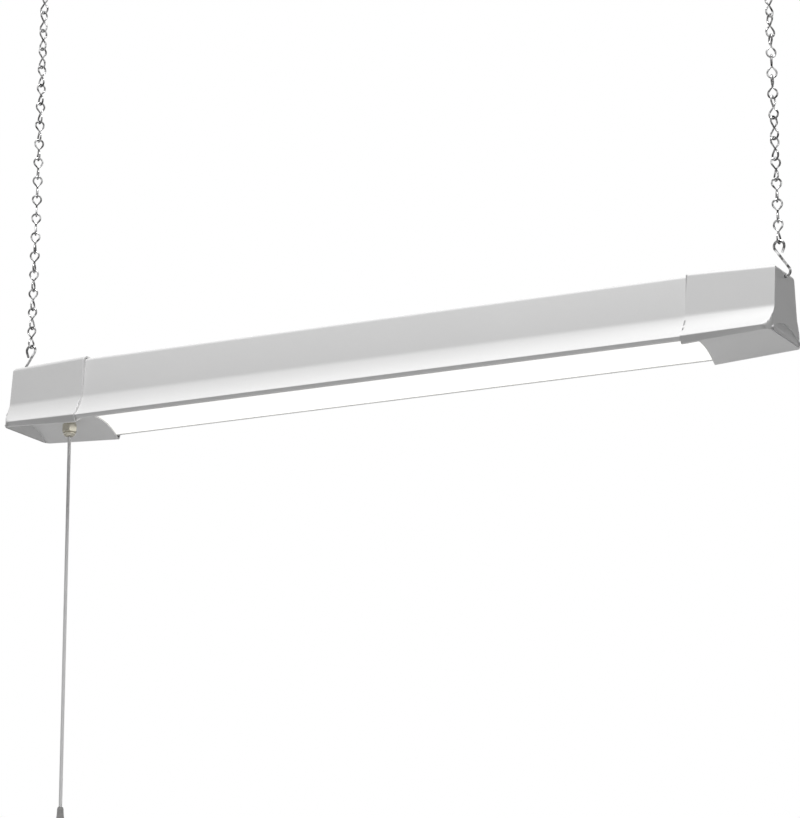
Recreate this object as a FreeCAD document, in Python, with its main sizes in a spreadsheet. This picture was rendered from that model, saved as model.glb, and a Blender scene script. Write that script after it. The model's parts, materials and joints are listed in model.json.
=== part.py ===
import FreeCAD, Part
import math
import os
from types import SimpleNamespace

import Sketcher
from FreeCAD import Placement, Rotation, Vector

# A linear shop light with a bell-shaped sheet housing, sleeve end caps and an opal lens, hung level on
# two jack chains from two ceiling hooks, with a pull-cord switch under its left end cap.
# +X runs along the light, +Y to its back, +Z up. The origin lies on the ceiling, midway between the
# two ceiling hooks. Pieces of the light are drawn from its rim level, which hangs below the ceiling.

SIZES = {
    # where the light hangs
    "ceiling_gap": 5.6,          # ceiling hook's ring to the ceiling
    "chain_inset": 6.0,          # how far each chain's top stands in from its foot
    "chain_play": 0.3,           # gap where two wires hook into each other
    # housing
    "overall_length": 914.0,
    "cap_length": 96.0,
    "sheet": 0.8,
    "top_half": 27.0,            # half widths and levels of the bell section
    "top_level": 70.0,
    "top_round": 4.0,
    "crease_half": 32.5,
    "crease_level": 24.5,
    "tip_half": 48.0,
    "flare_hollow": 1.6,         # depth of the hollow in the flared wing
    "lip_drop": 3.5,
    "lip_lean": 3.0,
    "ledge_width": 3.0,          # inward ledge that the lens rests on
    "sleeve_overlap": 6.0,       # housing inside each cap
    # end caps
    "cap_wall": 1.8,
    "cap_lip_wall": 1.35,
    "cap_gap": 0.7,
    "cap_rim_drop": 7.7,
    "cap_rim_width": 3.0,
    "cap_arch_rise": 14.5,
    "taper_top": 2.6,            # how much the cap shrinks towards its closed end
    "taper_side": 2.6,
    "taper_tip": 1.5,
    "taper_edge": 1.5,           # how much the wing's edge and the rim rise towards it
    "taper_rim": 5.0,
    "corner_round": 13.0,
    "edge_round": 4.0,
    "cap_screw_radius": 1.4,
    "cap_screw_head": 2.8,
    "cap_screw_inset": 3.0,
    # lens
    "lens_wall": 1.4,
    "lens_rise": 13.4,
    "lens_play": 0.2,
    "lens_inset": 1.5,           # lens ends short of the housing ends
    # gear tray and what it carries
    "tray_level": 27.0,
    "tray_half": 29.8,
    "tray_flange": 10.0,
    "tray_setback": 14.0,
    "post_radius": 3.5,
    "post_row": 19.0,
    "post_inset": 47.0,          # post row to the tray's end
    "screw_radius": 1.8,
    "screw_head_radius": 3.6,
    "screw_head_height": 2.2,
    "head_taper": 0.7,           # a screw head's crown as a share of its seat
    "board_inset": 14.0,         # board's outer end to the tray's end
    "board_width": 26.0,
    "board_thickness": 1.6,
    "board_gap": 6.0,
    "led_length": 5.0,
    "led_width": 3.0,
    "led_height": 0.9,
    "led_row": 7.0,
    "led_count": 12,
    "driver_length": 178.0,
    "driver_width": 34.0,
    "driver_height": 21.0,
    "driver_wall": 1.2,
    "driver_inset": 109.0,       # driver's far end to the tray's right end
    "driver_tab": 9.0,
    "block_length": 36.0,
    "block_width": 17.0,
    "block_height": 13.0,
    "block_inset": 157.0,        # block's middle to the tray's left end
    "block_ways": 3,
    "block_port": 2.2,
    "ground_inset": 112.0,       # earth screw to the tray's left end
    "lead_radius": 1.1,
    "lead_row": 6.0,
    "lead_bow": 6.0,
    # supply entry in the hidden end wall
    "inlet_level": 38.0,
    "inlet_bore": 4.5,
    "inlet_neck": 7.0,
    "inlet_flange": 10.0,
    "inlet_flange_width": 3.0,
    "inlet_depth": 14.0,
    # pull switch
    "switch_inset": 59.5,        # from the light's end
    "switch_length": 27.0,
    "switch_width": 20.0,
    "switch_height": 19.0,
    "switch_wall": 1.6,
    "neck_radius": 5.0,
    "neck_bore": 2.4,
    "collar_radius": 6.9,
    "collar_height": 4.7,
    "collar_seat": 0.9,          # collar below the arched underside, which it meets at its edge
    "nut_radius": 9.0,
    "nut_height": 9.0,
    "nozzle_height": 4.7,
    "nozzle_radius": 6.6,
    "nozzle_mouth": 3.4,
    "thread_play": 0.1,
    "stem_radius": 1.5,
    "toggle_radius": 4.6,
    "toggle_height": 2.4,
    "spring_wire": 0.45,
    "spring_turns": 3,
    "spring_steps": 10,          # straight stretches in one turn
    "cord_radius": 1.9,
    "cord_length": 430.0,
    "bell_height": 27.0,
    "bell_neck": 3.6,
    "bell_radius": 8.0,
    "bell_wall": 1.2,
    "knot_radius": 3.4,
    # wire forms
    "hook_wire": 1.4,            # radius
    "hook_bend": 5.6,            # centre-line radius of both bends
    "hook_height": 27.7,         # between the two bend centres
    "hook_lean": 5.8,            # sideways, between the two bend centres
    "hook_reach": 0.6,           # lower bend centre beyond the cap's end face
    "hook_seat": 68.2,           # level of the lower bend centre
    "hook_wrap": 20.0,           # how far a closed bend passes its centre before its tail, degrees
    "hook_tail": 6.0,
    "hook_rise": 30.0,           # how far below level the lower bend stops, degrees
    "eye_radius": 2.0,
    "eye_lift": 0.4,             # eye's middle above the lowest point of the hook's wire
    "link_wire": 1.05,
    "link_bend": 4.9,
    "link_pitch": 22.4,
    "link_count": 20,
    "left_twist": 90.0,          # whole turn of each chain from foot to top
    "right_twist": 270.0,
    "ceiling_wire": 1.6,
    "ceiling_bend": 6.2,
    "ceiling_sweep": 285.0,      # how far the ring goes round, degrees
    "ceiling_shank": 2.2,
    "ceiling_thread": 26.0,
    "ceiling_collar": 4.4,
}

doc = FreeCAD.newDocument("ShopLight")
sheet = doc.addObject("Spreadsheet::Sheet", "Sizes")
for row, (alias, number) in enumerate(SIZES.items(), start=1):
    sheet.set(f"A{row}", alias)
    sheet.set(f"B{row}", repr(number))
    sheet.setAlias(f"B{row}", alias)
doc.recompute()


class Size:
    """A number that remembers the sheet formula it comes from."""

    def __init__(self, value, formula):
        self.value = float(value)
        self.formula = formula

    @staticmethod
    def of(other):
        return other if isinstance(other, Size) else Size(other, f"{float(other)!r}")

    def join(self, sign, other, value):
        return Size(value, f"({self.formula} {sign} {other.formula})")

    def __add__(self, other):
        other = Size.of(other)
        return self.join("+", other, self.value + other.value)

    def __sub__(self, other):
        other = Size.of(other)
        return self.join("-", other, self.value - other.value)

    def __mul__(self, other):
        other = Size.of(other)
        return self.join("*", other, self.value * other.value)

    def __truediv__(self, other):
        other = Size.of(other)
        return self.join("/", other, self.value / other.value)

    def __radd__(self, other):
        return Size.of(other) + self

    def __rsub__(self, other):
        return Size.of(other) - self

    def __rmul__(self, other):
        return Size.of(other) * self

    def __neg__(self):
        return Size(-self.value, f"(0 - {self.formula})")


dim = SimpleNamespace(**{alias: Size(number, f"Sizes.{alias}") for alias, number in SIZES.items()})
parts = []

TURNED = {
    "z": Rotation(),
    "x": Rotation(Vector(0, 1, 0), 90),
    "-x": Rotation(Vector(0, 1, 0), -90),
    "y": Rotation(Vector(1, 0, 0), -90),
    "-z": Rotation(Vector(1, 0, 0), 180),
}


def bind(thing, **sizes):
    for name, size in sizes.items():
        thing.setExpression(name, Size.of(size).formula)
    return thing


def place(thing, x, y, z, axis="z"):
    spot = [Size.of(x), Size.of(y), Size.of(z)]
    thing.Placement = Placement(Vector(*(size.value for size in spot)), TURNED[axis])
    for letter, size in zip("xyz", spot):
        thing.setExpression(f"Placement.Base.{letter}", size.formula)
    return thing


def keep(thing, label):
    """Names a finished sub-part; its label is its file's name."""
    thing.Label = label
    parts.append(thing)
    return thing


def box(x_span, y_span, z_span):
    thing = doc.addObject("Part::Box", "Block")
    spans = [(Size.of(low), Size.of(high)) for low, high in (x_span, y_span, z_span)]
    length, width, height = (high - low for low, high in spans)
    bind(thing, Length=length, Width=width, Height=height)
    return place(thing, *(low for low, high in spans))


def cylinder(radius, height, x, y, z, axis="z"):
    thing = bind(doc.addObject("Part::Cylinder", "Round"), Radius=radius, Height=height)
    return place(thing, x, y, z, axis)


def cone(low_radius, high_radius, height, x, y, z, axis="z"):
    thing = doc.addObject("Part::Cone", "Taper")
    bind(thing, Radius1=low_radius, Radius2=high_radius, Height=height)
    return place(thing, x, y, z, axis)


def fuse(*things):
    joined = doc.addObject("Part::MultiFuse", "Joined")
    joined.Shapes = list(things)
    return joined


def cut(base, *tools):
    result = doc.addObject("Part::Cut", "Trimmed")
    result.Base = base
    result.Tool = tools[0] if len(tools) == 1 else fuse(*tools)
    return result


def group(*things):
    """Separate solids that share one node."""
    bundle = doc.addObject("Part::Compound", "Group")
    bundle.Links = list(things)
    return bundle


def hex_prism(radius, height, x, y, z, axis="z"):
    thing = bind(doc.addObject("Part::Prism", "Hexagon"), Circumradius=radius, Height=height)
    thing.Polygon = 6
    return place(thing, x, y, z, axis)


def plane_of(body, role):
    return next(plane for plane in body.Origin.OriginFeatures if plane.Role == role)


def outline(body, role, points, name, offset=0.0):
    """Closed sketch on one of the body's planes, drawn clockwise.

    A point is (across, up), or (across, up, bow) where the stretch to the next point is an arc that
    stands out from its chord by bow, or is hollow where bow is negative.
    """
    sketch = body.newObject("Sketcher::SketchObject", name)
    sketch.AttachmentSupport = (plane_of(body, role), "")
    sketch.MapMode = "FlatFace"
    sketch.setExpression("AttachmentOffset.Base.z", Size.of(offset).formula)
    spots = [Vector(Size.of(point[0]).value, Size.of(point[1]).value, 0) for point in points]
    starts = []
    for index, point in enumerate(points):
        here, there = spots[index], spots[(index + 1) % len(spots)]
        bow = bow_of(point)
        if bow is None:
            sketch.addGeometry(Part.LineSegment(here, there))
            starts.append((1, 2))
            continue
        outward = Vector(here.y - there.y, there.x - here.x, 0).normalize()
        middle = (here + there) * 0.5 + outward * bow.value
        ends = (there, here) if bow.value > 0 else (here, there)
        sketch.addGeometry(Part.Arc(ends[0], middle, ends[1]))
        starts.append((2, 1) if bow.value > 0 else (1, 2))
    for index, point in enumerate(points):
        following = (index + 1) % len(points)
        start, end = starts[index]
        meeting = Sketcher.Constraint("Coincident", index, end, following, starts[following][0])
        sketch.addConstraint(meeting)
        for kind, size in zip(("DistanceX", "DistanceY"), point[:2]):
            size = Size.of(size)
            distance = Sketcher.Constraint(kind, -1, 1, index, start, size.value)
            number = sketch.addConstraint(distance)
            sketch.setExpression(f"Constraints[{number}]", size.formula)
        bow = bow_of(point)
        if bow is not None:
            chord_square = square_between(points[index], points[following])
            depth = bow if bow.value > 0 else -bow
            radius = (chord_square / 4 + depth * depth) / (depth * 2)
            curve = Sketcher.Constraint("Radius", index, sketch.Geometry[index].Radius)
            number = sketch.addConstraint(curve)
            sketch.setExpression(f"Constraints[{number}]", radius.formula)
    return sketch


def bow_of(point):
    return Size.of(point[2]) if len(point) > 2 else None


def square_between(one, other):
    across = Size.of(other[0]) - one[0]
    up = Size.of(other[1]) - one[1]
    return across * across + up * up


def mirrored(half):
    """Closes a section whose right side is given from its top down; a bow belongs to its stretch."""
    left = []
    for index in reversed(range(len(half))):
        bow = bow_of(half[index - 1]) if index > 0 else None
        across, up = half[index][:2]
        left.append((-across, up) if bow is None else (-across, up, bow))
    return half + left


def new_body(label=None):
    body = doc.addObject("PartDesign::Body", "Body")
    if label:
        keep(body, label)
    return body


def pad(body, sketch, length, middle=True):
    feature = body.newObject("PartDesign::Pad", "Pad")
    feature.Profile = sketch
    feature.Midplane = middle
    return bind(feature, Length=length)


def revolve(body, sketch):
    feature = body.newObject("PartDesign::Revolution", "Revolution")
    feature.Profile = sketch
    feature.ReferenceAxis = (sketch, ["V_Axis"])
    feature.Angle = 360
    return feature


def faces_where(shape, test):
    return [f"Face{number}" for number, face in enumerate(shape.Faces, start=1) if test(face)]


# Levels and stations that several pieces share, all measured from the rim of the housing.
light_half = dim.overall_length / 2
seam = light_half - dim.cap_length
housing_half = seam + dim.sleeve_overlap
ring_level = dim.hook_seat + dim.hook_height
ring_station = light_half + dim.hook_reach - dim.hook_lean
wire_step = dim.hook_wire + dim.link_wire + dim.chain_play
foot_level = ring_level + dim.hook_bend - wire_step
chain_rise = dim.link_count * dim.link_pitch + dim.link_wire * 2 + dim.chain_play
top_level = foot_level + chain_rise
top_station = ring_station - dim.chain_inset
upper_ring_low = top_level - wire_step + dim.hook_bend
sway_level = upper_ring_low + dim.hook_height + dim.hook_bend
ceiling_ring = sway_level - dim.hook_wire - dim.ceiling_wire - dim.chain_play + dim.ceiling_bend
drop = ceiling_ring + dim.ceiling_bend + dim.ceiling_gap


def hang(body):
    """Lowers a body that is drawn from the rim level to where the light hangs."""
    body.setExpression("Placement.Base.z", (-drop).formula)
    body.Placement = Placement(Vector(0, 0, -drop.value), Rotation())
    return body


def low(level):
    return level - drop


# A fillet's depth below its chord, as a share of its setback, at the near-square shoulder of the bell.
SHOULDER_BOW = 0.284


def shoulder(half, level, crease_half, crease_level, setback):
    """The rounded corner between the flat back and the side that runs down to the crease."""
    share = setback / (level - crease_level)
    return [
        (half - setback, level, setback * SHOULDER_BOW),
        (half + (crease_half - half) * share, level - setback),
    ]


cap_screw_bore = dim.cap_screw_radius + dim.thread_play


# Housing: one bent sheet with a flat back, leaning sides, hollow flared wings and inturned lips.
def make_housing():
    body = hang(new_body())
    lip_half = dim.tip_half - dim.lip_lean
    crease = (dim.crease_half, dim.crease_level)
    section = mirrored(shoulder(dim.top_half, dim.top_level, *crease, dim.top_round) + [
        (*crease, -dim.flare_hollow),
        (dim.tip_half, 0),
        (lip_half, -dim.lip_drop),
    ])
    block = pad(body, outline(body, "YZ_Plane", section, "BellSection"), housing_half * 2)
    doc.recompute()
    skin = body.newObject("PartDesign::Thickness", "Sheet")
    skin.Base = (block, faces_where(block.Shape, is_open_side))
    skin.Reversed = True
    skin.Join = 1
    bind(skin, Value=dim.sheet)
    for side in (1, -1):
        outer = (lip_half - dim.sheet / 2) * side
        inner = (lip_half - dim.ledge_width) * side
        near, far = (inner, outer) if side > 0 else (outer, inner)
        ledge = [
            (near, dim.sheet - dim.lip_drop),
            (far, dim.sheet - dim.lip_drop),
            (far, -dim.lip_drop),
            (near, -dim.lip_drop),
        ]
        pad(body, outline(body, "YZ_Plane", ledge, "Ledge"), housing_half * 2)
    doc.recompute()
    foot = low(dim.top_level - dim.top_round)
    holes = [cylinder(cap_screw_bore, dim.top_round * 2, x, 0, foot) for x in screw_stations()]
    keep(cut(body, *holes), "housing")


def is_open_side(face):
    middle = face.CenterOfMass
    at_end = abs(middle.x) > housing_half.value - 0.01
    at_bottom = abs(middle.z + dim.lip_drop.value) < 0.01 and abs(middle.y) < 1
    return at_end or at_bottom


def screw_stations():
    station = seam + dim.cap_screw_inset
    return (station, -station)


# End caps: tapered sleeves over the housing's ends, closed by an arched underside and an end wall.
class CapSize:
    """Sizes of a cap's outer face, or of its hollow, at its open end."""

    def __init__(self, hollow):
        spare = dim.cap_gap + dim.cap_wall
        self.inset = dim.cap_wall if hollow else Size.of(0)
        self.top = dim.top_level + spare - self.inset
        self.top_half = dim.top_half + spare - self.inset
        self.crease_half = dim.crease_half + spare - self.inset
        self.tip_half = dim.tip_half + spare - self.inset
        lip_half = dim.tip_half - dim.lip_lean
        outer_lip = lip_half + dim.cap_gap + dim.cap_lip_wall
        self.lip_half = lip_half + dim.cap_gap / 2 if hollow else outer_lip
        self.rim = self.inset - dim.cap_rim_drop
        self.arch_half = outer_lip - dim.cap_rim_width + self.inset / 3
        self.closed_end = light_half - self.inset
        self.hollow = hollow


def cap_section(size, share):
    """The bell section with an arched foot; share runs from 0 at the open end to 1 at the closed end."""
    side = dim.taper_side * share
    tip = dim.taper_tip * share
    lift = dim.taper_rim * share
    crease = (size.crease_half - side, dim.crease_level)
    setback = dim.top_round + (dim.cap_wall - size.inset) / 2
    return mirrored(shoulder(size.top_half - side, size.top - dim.taper_top * share, *crease, setback) + [
        (*crease, -dim.flare_hollow),
        (size.tip_half - tip, dim.taper_edge * share),
        (size.lip_half - tip, size.rim + lift),
        (size.arch_half - tip, size.rim + lift, -dim.cap_arch_rise),
    ])


def cap_solid(side, size):
    body = hang(new_body())
    first = outline(body, "YZ_Plane", cap_section(size, 0), "OpenEnd", seam * side)
    last = outline(body, "YZ_Plane", cap_section(size, 1), "ClosedEnd", size.closed_end * side)
    loft = body.newObject("PartDesign::AdditiveLoft", "Taper")
    loft.Profile = first
    loft.Sections = [last]
    loft.Ruled = True
    doc.recompute()
    end = size.closed_end
    plan_round = dim.corner_round - size.inset
    half = size.tip_half - dim.taper_tip
    trim_corner(body, "XY_Plane", side, end, plan_round, half, 1)
    trim_corner(body, "XY_Plane", side, end, plan_round, half, -1)
    edge_round = dim.edge_round - size.inset / 2
    trim_corner(body, "XZ_Plane", side, end, edge_round, size.top - dim.taper_top, 1)
    return body


def trim_corner(body, plane, side, end, radius, height, way):
    """Cuts a rounded corner off the closed end, seen square to the plane."""
    clear = dim.cap_wall * 4
    bow = radius * (1 - math.sqrt(0.5))
    corner = [
        (end - radius, height, bow),
        (end, height - radius),
        (end + clear, height - radius),
        (end + clear, height + clear),
        (end - radius, height + clear),
    ]
    placed = [(x * side, y * way, *rest) for x, y, *rest in corner]
    if side * way < 0:
        placed = reversed_outline(placed)
    pocket = body.newObject("PartDesign::Pocket", "Corner")
    pocket.Profile = outline(body, plane, placed, "CornerOutline")
    pocket.Midplane = True
    bind(pocket, Length=dim.overall_length)
    doc.recompute()
    return pocket


def reversed_outline(points):
    """The same closed outline drawn the other way, with its bows kept on their stretches."""
    turned = []
    for index in reversed(range(len(points))):
        bow = bow_of(points[index - 1])
        across, up = points[index][:2]
        turned.append((across, up) if bow is None else (across, up, bow))
    return turned


def make_cap(side, label):
    shell = cut(cap_solid(side, CapSize(False)), cap_solid(side, CapSize(True)))
    facing = "x" if side > 0 else "-x"
    start = (light_half - dim.cap_wall * 2) * side
    depth = dim.cap_wall * 3
    screw_x = (seam + dim.cap_screw_inset) * side
    screw_foot = low(dim.top_level - dim.cap_gap)
    holes = [
        cylinder(dim.eye_radius, depth, start, 0, low(eye_level), facing),
        cylinder(cap_screw_bore, dim.top_round * 2, screw_x, 0, screw_foot),
    ]
    if side < 0:
        neck_hole = dim.inlet_neck + dim.thread_play
        switch_foot = low(underside - dim.cap_arch_rise / 2)
        holes += [
            cylinder(neck_hole, depth, start, 0, low(dim.inlet_level), facing),
            cylinder(dim.neck_radius + dim.thread_play, dim.cap_arch_rise, switch_x, 0, switch_foot),
        ]
    keep(cut(shell, *holes), label)


eye_level = dim.hook_seat - dim.hook_bend + dim.eye_lift
switch_x = dim.switch_inset - light_half
underside = (dim.cap_arch_rise - dim.cap_rim_drop
             + dim.taper_rim * (dim.cap_length - dim.switch_inset) / dim.cap_length)


def pan_head(radius, height, shank, shank_length, x, y, z, axis="z"):
    """A round-headed screw; its head lies before the point and its shank goes on along the axis."""
    reach = {"z": (0, 0, 1), "-z": (0, 0, -1)}[axis]
    start = [Size.of(value) - height * step for value, step in zip((x, y, z), reach)]
    head = cone(radius * dim.head_taper, radius, height, *start, axis)
    return fuse(head, cylinder(shank, shank_length, x, y, z, axis))


def make_cap_screws():
    slope = dim.taper_top * dim.cap_screw_inset / dim.cap_length
    seat = dim.top_level + dim.cap_gap + dim.cap_wall - slope + dim.thread_play
    shank = dim.cap_wall + dim.cap_gap + dim.sheet * 4
    sizes = (dim.cap_screw_head, dim.screw_head_height, dim.cap_screw_radius, shank)
    screws = [pan_head(*sizes, x, 0, low(seat), "-z") for x in screw_stations()]
    keep(group(*screws), "cap_screws")


# Lens: an opal sheet arched between the lips of the housing.
def make_lens():
    body = hang(new_body("lens"))
    half = dim.tip_half - dim.lip_lean - dim.sheet - dim.lens_play
    foot = dim.sheet + dim.lens_play - dim.lip_drop
    section = [
        (half, foot, -dim.lens_rise),
        (-half, foot),
        (-half, foot + dim.lens_wall, dim.lens_rise),
        (half, foot + dim.lens_wall),
    ]
    pad(body, outline(body, "YZ_Plane", section, "Arch"), (housing_half - dim.lens_inset) * 2)


# Gear tray: an upturned pan under the housing's back that carries the boards, the driver and the wiring.
tray_top = dim.tray_level + dim.sheet
tray_end = seam - dim.tray_setback
post_station = tray_end - dim.post_inset
post_spots = [(post_station * end, dim.post_row * side) for end in (-1, 1) for side in (-1, 1)]
board_length = tray_end - dim.board_inset - dim.board_gap / 2
driver_end = tray_end - dim.driver_inset
driver_start = driver_end - dim.driver_length
driver_screw_spots = (driver_start - dim.driver_tab / 2, driver_end + dim.driver_tab / 2)
block_station = dim.block_inset - tray_end
ground_station = dim.ground_inset - tray_end
socket_depth = dim.screw_radius * 6
screw_bore = dim.screw_radius + dim.thread_play


def make_tray():
    body = hang(new_body())
    rise = dim.tray_level + dim.tray_flange
    section = mirrored([
        (dim.tray_half - dim.sheet, tray_top),
        (dim.tray_half - dim.sheet, rise),
        (dim.tray_half, rise),
        (dim.tray_half, dim.tray_level),
    ])
    pad(body, outline(body, "YZ_Plane", section, "Pan"), tray_end * 2)
    foot = low(dim.tray_level - dim.sheet)
    screw_spots = post_spots + [(x, 0) for x in (ground_station, *driver_screw_spots)]
    holes = [cylinder(screw_bore, dim.sheet * 3, x, y, foot) for x, y in screw_spots]
    holes.append(cylinder(dim.lead_radius * 2, dim.sheet * 3, board_lead_x, board_lead_row, foot))
    keep(cut(body, *holes), "gear_tray")


def make_posts():
    rise = dim.top_level - dim.sheet - tray_top
    posts, screws = [], []
    for x, y in post_spots:
        socket = cylinder(screw_bore, socket_depth, x, y, low(tray_top))
        posts.append(cut(cylinder(dim.post_radius, rise, x, y, low(tray_top)), socket))
        shank = socket_depth - dim.screw_radius
        screws.append(pan_head(dim.screw_head_radius, dim.screw_head_height, dim.screw_radius, shank,
                               x, y, low(dim.tray_level)))
    keep(group(*posts), "tray_posts")
    keep(group(*screws), "tray_screws")


def board_span(side):
    near, far = dim.board_gap / 2 * side, (dim.board_gap / 2 + board_length) * side
    return (near, far) if side > 0 else (far, near)


def make_board(side, label):
    half = dim.board_width / 2
    levels = (low(dim.tray_level - dim.board_thickness), low(dim.tray_level))
    keep(box(board_span(side), (-half, half), levels), label)


def make_leds():
    top = dim.tray_level - dim.board_thickness
    levels = (low(top - dim.led_height), low(top))
    along, across = dim.led_length / 2, dim.led_width / 2
    led_pitch = board_length / dim.led_count
    chips = []
    for side in (1, -1):
        for number in range(int(dim.led_count.value)):
            x = (dim.board_gap / 2 + led_pitch * (number + 0.5)) * side
            for row in (dim.led_row, -dim.led_row):
                chips.append(box((x - along, x + along), (row - across, row + across), levels))
    keep(group(*chips), "led_chips")


# Driver: a folded case and its cover, screwed to the tray by two tabs.
def make_driver():
    start, end = driver_start, driver_end
    half, wall = dim.driver_width / 2, dim.driver_wall
    cover_level = tray_top + dim.driver_height - wall
    shell = box((start, end), (-half, half), (low(tray_top), low(cover_level)))
    inner_levels = (low(tray_top + wall), low(cover_level + wall))
    hollow = box((start + wall, end - wall), (wall - half, half - wall), inner_levels)
    tabs = [box(span, (-half / 2, half / 2), (low(tray_top), low(tray_top + wall)))
            for span in ((start - dim.driver_tab, start), (end, end + dim.driver_tab))]
    holes = [cylinder(screw_bore, wall * 3, x, 0, low(tray_top - wall)) for x in driver_screw_spots]
    far_port = (end - wall * 2, board_lead_row)
    port_spots = [(start - wall, dim.lead_row), (start - wall, -dim.lead_row), far_port]
    ports = [cylinder(lead_bore, wall * 3, x, y, low(lead_level), "x") for x, y in port_spots]
    keep(cut(fuse(cut(shell, hollow), *tabs), *holes, *ports), "driver_case")
    lid = box((start, end), (-half, half), (low(cover_level), low(cover_level + wall)))
    edge = wall + dim.lens_play
    plug = box((start + edge, end - edge), (edge - half, half - edge),
               (low(cover_level - wall), low(cover_level)))
    keep(fuse(lid, plug), "driver_cover")
    head = (dim.screw_head_radius, dim.screw_head_height)
    shank = (dim.screw_radius - dim.thread_play, wall + dim.sheet)
    screws = [pan_head(*head, *shank, x, 0, low(tray_top + wall), "-z") for x in driver_screw_spots]
    keep(group(*screws), "driver_screws")


# Wiring: a terminal block, an earth screw and the leads between switch, block, driver and boards.
lead_level = tray_top + dim.block_height / 2
board_lead_x = driver_end + lead_level - dim.tray_level
board_lead_row = dim.lead_row + dim.driver_tab / 2
lead_bore = dim.lead_radius + dim.thread_play
clamp_rows = (block_station - dim.block_length / 4, block_station + dim.block_length / 4)


def make_terminal_block():
    start, end = block_station - dim.block_length / 2, block_station + dim.block_length / 2
    half = dim.block_width / 2
    body = box((start, end), (-half, half), (low(tray_top), low(tray_top + dim.block_height)))
    ways = range(int(dim.block_ways.value))
    rows = [dim.lead_row * (number - (dim.block_ways - 1) / 2) for number in ways]
    ports = [cylinder(lead_bore, dim.block_length, start, y, low(lead_level), "x") for y in rows]
    foot = lead_level + dim.lead_radius
    spots = [(x, y) for x in clamp_rows for y in rows]
    wells = [cylinder(dim.block_port, dim.block_height, x, y, low(foot)) for x, y in spots]
    keep(cut(body, *ports, *wells), "terminal_block")
    radius, height = dim.block_port - dim.thread_play, dim.block_height / 4
    clamps = [cylinder(radius, height, x, y, low(foot + dim.thread_play)) for x, y in spots]
    keep(group(*clamps), "terminal_screws")


def make_ground_screw():
    x = ground_station
    head = hex_prism(dim.screw_head_radius, dim.screw_head_height, x, 0, low(tray_top))
    shank = cylinder(dim.screw_radius, dim.sheet, x, 0, low(dim.tray_level))
    keep(fuse(head, shank), "earth_screw")


def bent_wire(start, middle, end, radius):
    """A round wire along the arc through three points."""
    arc = Part.Arc(start, middle, end)
    heading = arc.tangent(arc.FirstParameter)[0]
    ring = Part.Wire(Part.makeCircle(radius, start, heading))
    return Part.Wire(arc.toShape()).makePipeShell([ring], True, False)


def feature(label, shape, x=0.0, z=0.0, tilt=0.0):
    thing = keep(doc.addObject("Part::Feature", "Form"), label)
    thing.Shape = shape
    thing.Placement = Placement(Vector(x, 0, z), Rotation(Vector(0, 1, 0), tilt))
    return thing


def make_leads():
    level, row, radius = lead_level.value, dim.lead_row.value, dim.lead_radius.value
    block_near = (block_station - dim.block_length / 2).value
    block_far = (block_station + dim.block_length / 2).value
    switch_side = (switch_x + dim.switch_length / 2 + dim.chain_play).value
    bow = dim.lead_bow.value

    def pair(start, end, lift):
        wires = []
        for y in (row, -row):
            first, last = Vector(start[0], y, start[1]), Vector(end[0], y, end[1])
            wires.append(bent_wire(first, (first + last) * 0.5 + Vector(0, 0, lift), last, radius))
        return Part.makeCompound(wires)

    switch_pair = pair((switch_side, switch_lead_level.value), (block_near, level), bow)
    feature("switch_leads", switch_pair, z=-drop.value)
    driver_near = (driver_start + dim.driver_wall).value
    feature("driver_leads", pair((block_far, level), (driver_near, level), -bow / 2), z=-drop.value)
    start, foot, side = driver_end.value, dim.tray_level.value, board_lead_row.value
    corner = (level - foot) * math.sqrt(0.5)
    path = (Vector(start, side, level), Vector(start + corner, side, foot + corner),
            Vector(board_lead_x.value, side, foot))
    feature("board_lead", bent_wire(*path, radius), z=-drop.value)


# Supply entry: a flanged bushing in the left end wall, open for a cord.
def make_inlet():
    outer, level = -light_half, low(dim.inlet_level)
    behind_wall = outer + dim.cap_wall + dim.lens_play
    mouth = outer - dim.inlet_flange_width
    flange = cylinder(dim.inlet_flange, dim.inlet_flange_width, outer, 0, level, "-x")
    neck = cylinder(dim.inlet_neck, dim.inlet_depth, outer, 0, level, "x")
    snap = cylinder(dim.inlet_neck + dim.sheet, dim.cap_wall, behind_wall, 0, level, "x")
    bore = cylinder(dim.inlet_bore, dim.inlet_depth + dim.inlet_flange_width, mouth, 0, level, "x")
    keep(cut(fuse(flange, neck, snap), bore), "supply_bushing")


# Pull switch: its case stands on the cap's underside and its neck goes down through it, into the collar,
# the nut and the nozzle.
case_foot = underside + dim.cap_wall + dim.collar_seat
collar_top = underside - dim.collar_seat
nut_top = collar_top - dim.collar_height
nozzle_top = nut_top - dim.nut_height
cord_exit = nozzle_top - dim.nozzle_height
cavity_floor = case_foot + dim.switch_wall
cavity_roof = case_foot + dim.switch_height - dim.switch_wall
toggle_level = cavity_roof - dim.toggle_height - dim.chain_play
switch_lead_level = case_foot + dim.switch_height * 0.75


def make_switch():
    half, deep = dim.switch_length / 2, dim.switch_width / 2
    levels = (low(case_foot), low(case_foot + dim.switch_height))
    case = box((switch_x - half, switch_x + half), (-deep, deep), levels)
    cavity = switch_rod(dim.toggle_radius + dim.chain_play * 2, cavity_floor, cavity_roof)
    neck = switch_rod(dim.neck_radius, nozzle_top + dim.thread_play, case_foot + dim.switch_wall / 2)
    bore = switch_rod(dim.neck_bore, nozzle_top, cavity_floor + dim.chain_play)
    keep(cut(fuse(case, neck), cavity, bore), "switch_case")
    thread = switch_rod(dim.neck_radius + dim.thread_play, nozzle_top, collar_top)
    keep(cut(switch_rod(dim.collar_radius, nut_top, collar_top), thread), "switch_collar")
    nut = hex_prism(dim.nut_radius, dim.nut_height, switch_x, 0, low(nozzle_top))
    keep(cut(nut, thread), "switch_nut")


def switch_rod(radius, foot, top):
    return cylinder(radius, top - foot, switch_x, 0, low(foot))


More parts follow.
